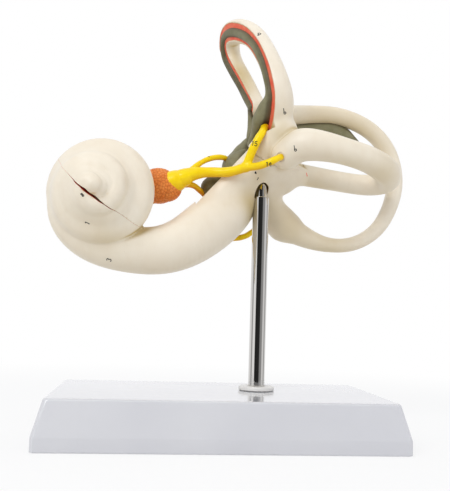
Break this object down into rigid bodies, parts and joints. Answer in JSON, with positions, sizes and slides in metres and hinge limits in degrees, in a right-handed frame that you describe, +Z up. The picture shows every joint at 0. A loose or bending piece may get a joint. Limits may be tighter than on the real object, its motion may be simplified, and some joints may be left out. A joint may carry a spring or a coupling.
{
  "type": "inner ear anatomy model",
  "caption": "Enlarged inner ear teaching model with a coiled cochlea, opened canal loops, coloured nerves and a lift-off cochlea cover, carried on a chrome post over a flat white base.",
  "frame": {"origin": "middle of the base's flat underside, on the surface that it rests on", "axes": "+Z up along the post, +X to the right towards the canals as the model is shown, -Y towards the viewer"},
  "size_m": [0.227, 0.11, 0.2624],
  "materials": {
    "gloss_white": "glossy moulded white",
    "plate_grey": "matt light grey",
    "chrome": "mirror-bright plating",
    "steel": "plain steel",
    "sleeve_brown": "raw brown, hidden in the body",
    "bone": "cream, satin, hand-finished casting",
    "membrane": "grey-green paint",
    "saccule_grey": "darker grey-brown paint",
    "nerve_yellow": "glossy yellow",
    "ganglion_orange": "pebbled orange"
  },
  "bodies": {
    "stand": {"base_shell": "gloss_white", "bottom_plate": "plate_grey", "post_collar": "gloss_white", "post_tube": "chrome", "post_plug": "steel", "post_washer": "steel", "post_screw": "steel"},
    "rod": {"support_rod": "chrome"},
    "labyrinth": {"rod_socket": "sleeve_brown", "labyrinth_body": "bone", "anterior_canal": "bone", "posterior_canal": "bone", "lateral_canal": "bone", "anterior_duct": "membrane", "common_crus_duct": "membrane", "posterior_duct": "membrane", "utricle": "membrane", "saccule": "saccule_grey", "endolymphatic_sac": "membrane", "vestibular_ganglion": "ganglion_orange", "vestibular_nerve": "nerve_yellow", "utricular_nerve": "nerve_yellow", "saccular_nerve": "nerve_yellow", "posterior_ampullary_nerve": "nerve_yellow", "cochlear_nerve": "nerve_yellow", "lid_peg_1": "steel", "lid_peg_2": "steel"},
    "lid": {"cochlea_lid": "bone"}
  },
  "joints": [
    {"name": "rod_lift", "type": "slide", "parent": "stand", "child": "rod", "axis": [0, 0, 1], "range_m": [0, 0.055]},
    {"name": "labyrinth_turn", "type": "hinge", "parent": "rod", "child": "labyrinth", "pos_m": [0.024, 0.0065, 0.156], "axis": [0, 0, 1], "continuous": true},
    {"name": "lid_pull", "type": "slide", "parent": "labyrinth", "child": "lid", "axis": [0.5887, -0.2079, 0.7812], "range_m": [0, 0.07]}
  ]
}
